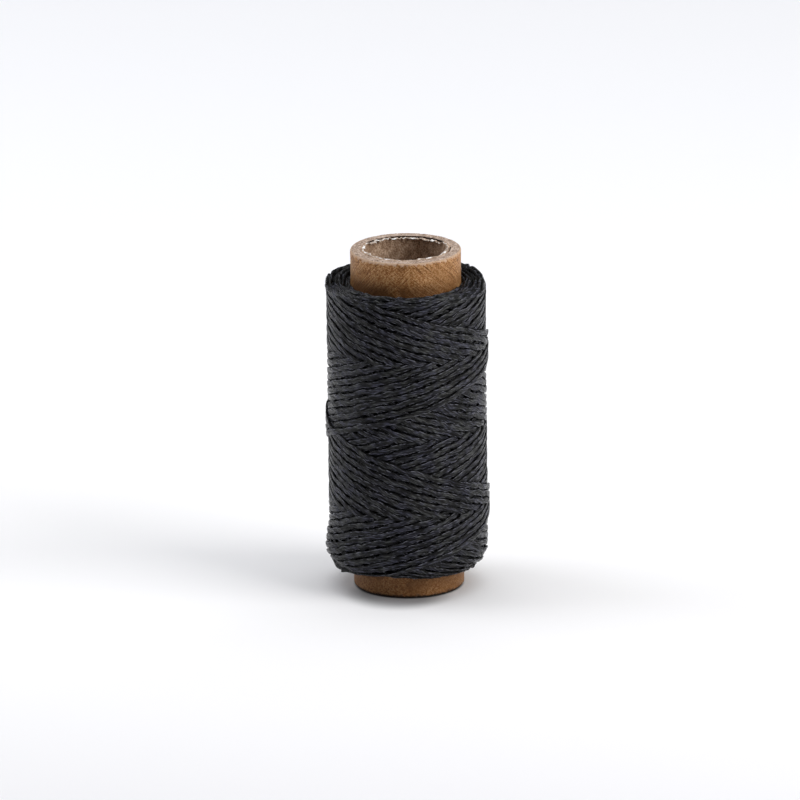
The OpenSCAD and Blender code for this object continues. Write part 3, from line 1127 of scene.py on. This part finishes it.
def kraft_patterns(tree):
    """The fields that the kraft paper's colour and relief are made of."""
    x, _, z = apart(on_piece(tree))
    falling = placed(tree, STREAKS, "Streak", Twist=110.0, Scale=4500.0, Stretch=0.08, Detail=2.0)
    rising = placed(tree, STREAKS, "Streak", Twist=-95.0, Scale=4300.0, Stretch=0.08, Detail=2.0,
                    Shift=7.0)
    fine = placed(tree, MOTTLING, "Cloud", Scale=3200.0, Low=0.30, High=0.70, Detail=4.0)
    wander = placed(tree, MOTTLING, "Cloud", Scale=160.0, Low=0.30, High=0.70, Detail=3.0)
    handled = (z / tube_len).smooth(0.0, 1.0) * 0.75 + 0.25
    region = (x / (4.0 * MM) + (wander - 0.5) * 3.0).smooth(0.6, -0.6)
    main = (region.choose(falling, rising) - 0.5) * handled + 0.5
    fibres = main * 0.55 + region.choose(rising, falling) * 0.17 + fine * 0.28
    return {"x": x, "falling": falling, "rising": rising, "fine": fine, "wander": wander,
            "handled": handled, "main": main, "fibres": fibres}


def kraft_wax_and_shade(tree, paper):
    """How far the paper is darkened, partly by wax and partly as painted shade: patchily beside the
    thread, less on the lit right side and more towards the foot.
    """
    waxed = placed(tree, WAX_AND_SHADE_ZONE, "Waxed", Bottom=wound_z0, Top=wound_z1)
    # Painted shade: the darkening is weaker on the lit right side.
    lit_side = (paper["x"] / (8.0 * MM)).smooth(-0.2, 1.1)
    patchy = paper["wander"].smooth(0.30, 0.60) * 0.50 + 0.35
    waxed = waxed * patchy * (lit_side * -0.6 + 1.0)
    # Painted shade: darker towards the foot, where less light reaches it.
    return waxed.math("MAXIMUM", paper["handled"] * -0.65 + 0.65)


print("kraft tones start at", [place for place, _ in KRAFT_TONES])


# %% Kraft paper
def kraft_material():
    """Brown kraft paper, scratched on a slant and rubbed pale at its cut edges."""
    material, tree, shader = new_material("kraft_paper", Specular_IOR_Level=0.16)
    paper = kraft_patterns(tree)
    main, handled, fine = paper["main"], paper["handled"], paper["fine"]
    cloud = placed(tree, MOTTLING, "Cloud", Scale=190.0, Low=0.38, High=0.62, Detail=6.0)
    patch = placed(tree, MOTTLING, "Cloud", Scale=380.0, Low=0.42, High=0.60, Detail=4.0)
    dark_stroke = main.less_from(1.0).smooth(0.57, 0.63) * (patch * 0.7 + 0.3)
    pale_stroke = main.smooth(0.60, 0.68) * patch.less_from(1.2)
    wear_and_shade_band = placed(tree, WORN_ENDS, "Worn", Length=tube_len, Depth=0.42 * MM, Ragged=1.1 * MM)

    colour = ramp(tree, paper["fibres"], KRAFT_TONES)
    # The wax-and-shade brown is partly a wax stain and partly painted shade; the dark foot edge is
    # painted shade where the tube meets the sheet.
    for share, over in ((cloud * 0.5, STAIN), (kraft_wax_and_shade(tree, paper), WAX_AND_SHADE_BROWN),
                        (dark_stroke * 0.75, DARK_SCRATCH), (pale_stroke * 0.32, PALE_SCRATCH),
                        (wear_and_shade_band * handled, PALE_EDGE), (wear_and_shade_band * handled.less_from(1.0), FOOT_EDGE_SHADE)):
        colour = mixed(tree, share, colour, over)
    tree.links.new(colour.socket, shader.inputs["Base Color"])
    plug(tree, dark_stroke * -0.12 + wear_and_shade_band * 0.25 + fine * 0.12 + 0.42, shader.inputs["Roughness"])
    relief = paper["rising"] * 0.8 + paper["falling"] * 0.6 + fine * 0.3
    bump(tree, shader, relief, PAPER_RELIEF, strength=0.8)
    return material


KRAFT = kraft_material()
print(f"kraft paper: {len(KRAFT.node_tree.nodes)} nodes")

# %% [markdown]
# ## Chipboard, lining, torn paper and glue
# The plies inside are recycled paper: short fibres of many colours pressed together, grey-brown with
# dark flecks where the tube is sawn off, browner down the bore, and nearly white where the lining is
# torn and its inside shows. The glue in the crack behind the lining is painted nearly black, as the
# shade in the crack. All four are one stock with other tones and flecks, so one function makes them.

# %% Chipboard, lining, torn paper and glue
TONE_STOPS = (0.24, 0.48, 0.74)
FLECK_EDGE = 0.08        # how sharply a fleck begins


def board_material(name, tones, fleck, share, spread=1900.0, low=0.58):
    """Recycled paper stock: short fibres in three tones, with flecks of another colour."""
    material, tree, shader = new_material(name, Specular_IOR_Level=0.2)
    fine = placed(tree, MOTTLING, "Cloud", Scale=3200.0, Low=0.28, High=0.72, Detail=4.0)
    cloud = placed(tree, MOTTLING, "Cloud", Scale=700.0, Low=0.34, High=0.68, Detail=5.0)
    rising = placed(tree, STREAKS, "Streak", Twist=110.0, Scale=1900.0, Stretch=0.14, Detail=4.0)
    falling = placed(tree, STREAKS, "Streak", Twist=-75.0, Scale=1700.0, Stretch=0.16, Shift=3.0)
    tone = fine * 0.25 + cloud * 0.15 + rising * 0.35 + falling * 0.25
    colour = ramp(tree, tone, list(zip(TONE_STOPS, tones)))
    specks = placed(tree, MOTTLING, "Cloud", Scale=spread, Low=low, High=low + FLECK_EDGE, Detail=3.0)
    colour = mixed(tree, specks * share, colour, fleck)
    tree.links.new(colour.socket, shader.inputs["Base Color"])
    plug(tree, tone * 0.1 + 0.78, shader.inputs["Roughness"])
    bump(tree, shader, fine * 0.6 + rising * 0.5 + falling * 0.4, PAPER_RELIEF, strength=0.8)
    return material


CHIPBOARD = board_material("chipboard", ((0.200, 0.135, 0.100), (0.420, 0.315, 0.250),
                           (0.680, 0.560, 0.480)), (0.110, 0.070, 0.048), share=0.80)
LINING = board_material("lining_paper", ((0.130, 0.072, 0.040), (0.360, 0.238, 0.158),
                        (0.640, 0.480, 0.360)), (0.120, 0.066, 0.036), share=0.45)
TORN = board_material("torn_paper", ((0.240, 0.170, 0.125), (0.430, 0.340, 0.275),
                      (0.700, 0.620, 0.550)), (0.970, 0.960, 0.950), share=0.95, spread=620.0,
                      low=0.49)
# Painted shade: the glue film is nearly black, for the shade in the crack behind the lining.
GLUE_SHADE = board_material("glue_shade_line", ((0.020, 0.012, 0.008), (0.040, 0.025, 0.016),
                      (0.080, 0.052, 0.035)), (0.010, 0.006, 0.004), share=0.5)
print("paper finishes:", CHIPBOARD.name, LINING.name, TORN.name, GLUE_SHADE.name)

# %% [markdown]
# ## Plies of the tube
# Each ply is a closed ring, turned round the axis from its own outline. The rows are close together
# near the ends, where the saw left a rough face and the edge is knocked round, and far apart under
# the thread. One thick ring with lines drawn on its end would be lighter, but real plies part a
# little at the cut. Noise in the mesh gives the grain there, so the end stays rough from any side.

# %% Outline of a ply
EDGE = 0.4 * MM          # radius of the tube's knocked edge
COLLAR = 7.5 * MM        # length of tube that shows at an end, with a little more
END_ROWS, MIDDLE_ROWS = 30, 12
PLY_STEPS = 420


def edge_drop(radius):
    """Depth of the rounded edge below the tube's end at a radius."""
    beyond = radius - (tube_r - EDGE)
    return 0.0 if beyond <= 0 else EDGE - math.sqrt(max(0.0, EDGE * EDGE - beyond * beyond))


def ply_outline(inner, outer, face_steps):
    """Outline of one ply: up its outside, in over the top, down its inside and out underneath."""
    low, high = edge_drop(outer), tube_len - edge_drop(outer)
    heights = between(low, COLLAR, END_ROWS)[1:]
    heights += between(COLLAR, tube_len - COLLAR, MIDDLE_ROWS)[1:-1]
    heights += between(tube_len - COLLAR, high, END_ROWS)[:-1]
    across = between(outer, inner, face_steps)
    points = [(outer, z) for z in heights]
    points += [(r, tube_len - edge_drop(r)) for r in across]
    points += [(inner, z) for z in reversed(heights)]
    return points + [(r, edge_drop(r)) for r in reversed(across)]


def from_end(height):
    """Distance from the nearer end, and the way into the tube from there."""
    return min(height, tube_len - height), -1 if height > tube_len / 2 else 1


print(f"plies: {PLY_STEPS} steps round, {2 * END_ROWS + MIDDLE_ROWS} rows up")


# %% Plies
GRAIN_REACH = 0.5 * MM   # how far down from the cut the grain reaches
GLUE_GAP, KRAFT_GAP = 0.02 * MM, 0.01 * MM


def ply_shape(seed, wave, grain):
    """Slight waves in a ply, and the rough grain of its cut ends."""
    def shape(angle, radius, height):
        near_end, down = from_end(height)
        end = math.exp(-near_end / GRAIN_REACH)
        wide = rough(angle, height, 4.0 * MM, seed) * wave
        fine = rough(angle, height + radius, 0.35 * MM, seed + 1, radius - tube_r) * grain * end
        rag = rough(angle, radius * 3, 0.8 * MM, seed + 2, radius - tube_r) * grain * end
        return radius + wide + 0.3 * fine, height + down * (abs(fine) + abs(rag))
    return shape


kraft_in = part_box("board_ply_3")[1].x + KRAFT_GAP
kraft_paper = lathe("kraft_paper", ply_outline(kraft_in, tube_r, 4), PLY_STEPS,
                    ply_shape(1, 0.06 * MM, 0.10 * MM), KRAFT)
boards = []
for number in (1, 2, 3):
    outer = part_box(f"board_ply_{number}")[1].x
    inner = liner_r if number == 1 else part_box(f"board_ply_{number - 1}")[1].x
    boards.append(lathe(f"board_{number}", ply_outline(inner + GLUE_GAP, outer, 8), PLY_STEPS,
                        ply_shape(10 * number, 0.0, 0.13 * MM), CHIPBOARD))

# %% [markdown]
# ## Lining
# The saw pulled at the lining at both ends. Over half of the bore it came off the chipboard, dropped
# a little and leans inwards, so a dark crack opens behind it. The lining is turned like the other
# plies, and its function moves it inwards near the ends, where wide noise says that it has come off.

# %% Lining
PEEL_FROM, PEEL_GROWS = 0.48, 0.35   # where the peeling starts and over what share it grows
PEEL_REACH = 1.0 * MM    # how far down the lining has come off
RAG_REACH = 0.9 * MM     # how far down its cut edge is ragged
FIBRE_RELIEF = 0.04 * MM  # relief of the fibres down the bore
GLUE_FILM = (-0.04 * MM, 0.10 * MM)  # the film's two faces, from the lining's outside
GLUE_SINK = 0.10 * MM    # how far the glue lies below the cut


def peeled(angle):
    """How far the lining has come off the chipboard at an end: 0 to 1 round the bore."""
    side = 0.5 - 0.5 * math.cos(angle + 0.25) + 0.45 * rough(angle, 0, 3.5 * MM, 91)
    side += 0.25 * rough(angle, 0, 0.9 * MM, 93)
    share = min(1.0, max(0.0, (side - PEEL_FROM) / PEEL_GROWS))
    return share * share * (3 - 2 * share)


def came_off(angle, near_end):
    """How far the peeled lining leans inwards and has dropped, this far from its end."""
    end = peeled(angle) * math.exp(-near_end / PEEL_REACH)
    lean = (0.32 + 0.30 * rough(angle, 0, 1.4 * MM, 37) + 0.12 * rough(angle, 0, 0.4 * MM, 38)) * MM
    drop = (0.34 + 0.30 * rough(angle, 0, 0.9 * MM, 39) + 0.15 * rough(angle, 0, 0.3 * MM, 40)) * MM
    return lean * end, max(0.0, drop) * end


def lining_shape(angle, radius, height):
    """The lining is fibrous all the way down, and peels off the chipboard near its ends."""
    near_end, down = from_end(height)
    end = math.exp(-near_end / RAG_REACH)
    lean, drop = came_off(angle, near_end)
    inward = radius < liner_r - 0.2 * MM
    fibre = rough(angle, height, 0.8 * MM, 33) * FIBRE_RELIEF if inward else 0.0
    rag = abs(rough(angle, radius * 2, 0.7 * MM, 35)) * 0.12 * MM * end
    return radius - lean + fibre, height + down * (rag + drop)


def sunk(angle, radius, height):
    """The glue lies a little below the cut at both ends."""
    return radius, height + from_end(height)[1] * GLUE_SINK


# The nearly black glue film in the crack is painted shade.
glue_section = ply_outline(liner_r + GLUE_FILM[0], liner_r + GLUE_FILM[1], 2)
glue_shade_line = lathe("glue_shade_line", glue_section, PLY_STEPS, sunk, GLUE_SHADE)
lining = lathe("liner_paper", ply_outline(bore_r, liner_r, 6), PLY_STEPS, lining_shape, LINING)

# %% [markdown]
# ## Torn rim of the bore
# On the lining's edge stands a thin ragged ribbon of torn paper: nearly nothing in some places, and a
# flap that leans over the bore in others, white where its fibres are torn. A displaced edge of the
# lining couldn't curl over, so the ribbon is a piece of its own, whose section changes at each step
# round the rim. Wide noise says where the flaps are, and finer noise tears their edges.

# %% Section of the torn ribbon
BARE = 0.03 * MM         # reach and rise of the ribbon where nothing stands
RIBBON_ROWS = 8
RIBBON_THICK, RIBBON_LOSS = 0.09 * MM, 0.05 * MM   # thickness at the root, and its loss to the edge
ON_SHEET = 0.02 * MM     # the lower ribbon stays this far above the sheet


def torn_section(angle, end, facing, seed):
    """Points of the ribbon's section at an angle: over its top and back underneath."""
    flap = max(0.0, 0.15 + 1.5 * rough(angle, 0, 2.8 * MM, seed))
    tear = rough(angle, 0, 0.55 * MM, seed + 1)
    fray = rough(angle, 0, 0.20 * MM, seed + 2)
    stand = max(0.0, 0.4 + rough(angle, 0, 1.2 * MM, seed + 3))
    lean, drop = came_off(angle, 0.0)
    inward = BARE + (0.50 * flap + 0.36 * flap * tear + 0.12 * fray) * MM + lean
    lift = BARE + 0.25 * flap * stand * MM - drop
    start = bore_r + (0.16 + 0.14 * tear + 0.10 * fray) * MM - 0.6 * lean
    top, under = [], []
    for row in range(RIBBON_ROWS):
        share = row / (RIBBON_ROWS - 1)
        curl = math.sin(share * math.pi * 0.8) * (lift + drop) - drop - share ** 3 * 0.10 * MM
        wave = rough(angle, row * 0.15 * MM, 0.28 * MM, seed + 4) * 0.05 * MM
        radius = start - share * (start - bore_r + inward)
        height = end + facing * (curl + wave)
        top.append((radius, height))
        under.append((radius, height - facing * (RIBBON_THICK - RIBBON_LOSS * share)))
    points = top + under[::-1]
    return [(r, z if facing > 0 else max(z, ON_SHEET)) for r, z in points]


print(f"ribbon: {2 * RIBBON_ROWS} points in a section")


# %% Torn rims
RIM_STEPS = 1300


def torn_rim(name, end, facing, seed):
    """A ragged ribbon round the bore's rim; facing is 1 at the top and -1 at the bottom."""
    points, faces = [], []
    for step in range(RIM_STEPS):
        angle = 2 * math.pi * step / RIM_STEPS
        section_points = torn_section(angle, end, facing, seed)
        ring = len(section_points)
        points += [(r * math.sin(angle), -r * math.cos(angle), z) for r, z in section_points]
        here, there = step * ring, (step + 1) % RIM_STEPS * ring
        for row in range(ring):
            beside = (row + 1) % ring
            face = (here + row, there + row, there + beside, here + beside)
            faces.append(face if facing > 0 else face[::-1])
    return new_piece(name, points, faces, TORN)


torn_rims = [torn_rim("torn_rim_top", tube_len, 1, 51), torn_rim("torn_rim_bottom", 0.0, -1, 71)]

# %% [markdown]
# ## What stands for what
# Each piece rides on the one body. The imported solids that it stands for are hidden, and the
# finish that it should take is printed.

# %% Bodies, replaced solids and printed slots
def belongs(pieces, slot, *nodes):
    """Rides pieces on the one body, hides the solids they replace and prints the finish each should
    take.
    """
    for piece in pieces:
        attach(piece, "root")
        if nodes:
            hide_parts(*nodes)
        print(piece.name, "->", slot, *nodes)


belongs(outer_turns, "waxed_thread", "outer_winding")
belongs(reversals, "waxed_thread")
belongs([packed_layers], "waxed_thread_inner", "inner_layers")
belongs([kraft_paper], "kraft_paper", "kraft_wrap")
for number, board in enumerate(boards, 1):
    belongs([board], "chipboard", f"board_ply_{number}")
belongs([lining], "liner_paper", "liner_ply")
belongs(torn_rims + [glue_shade_line], "liner_paper")

# %% Compare the two boxes
sizes = {"cad": cad_bounds, "visual": [list(corner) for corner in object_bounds()]}
for label, (low, high) in sizes.items():
    print(label, [round((b - a) / MM, 2) for a, b in zip(low, high)])
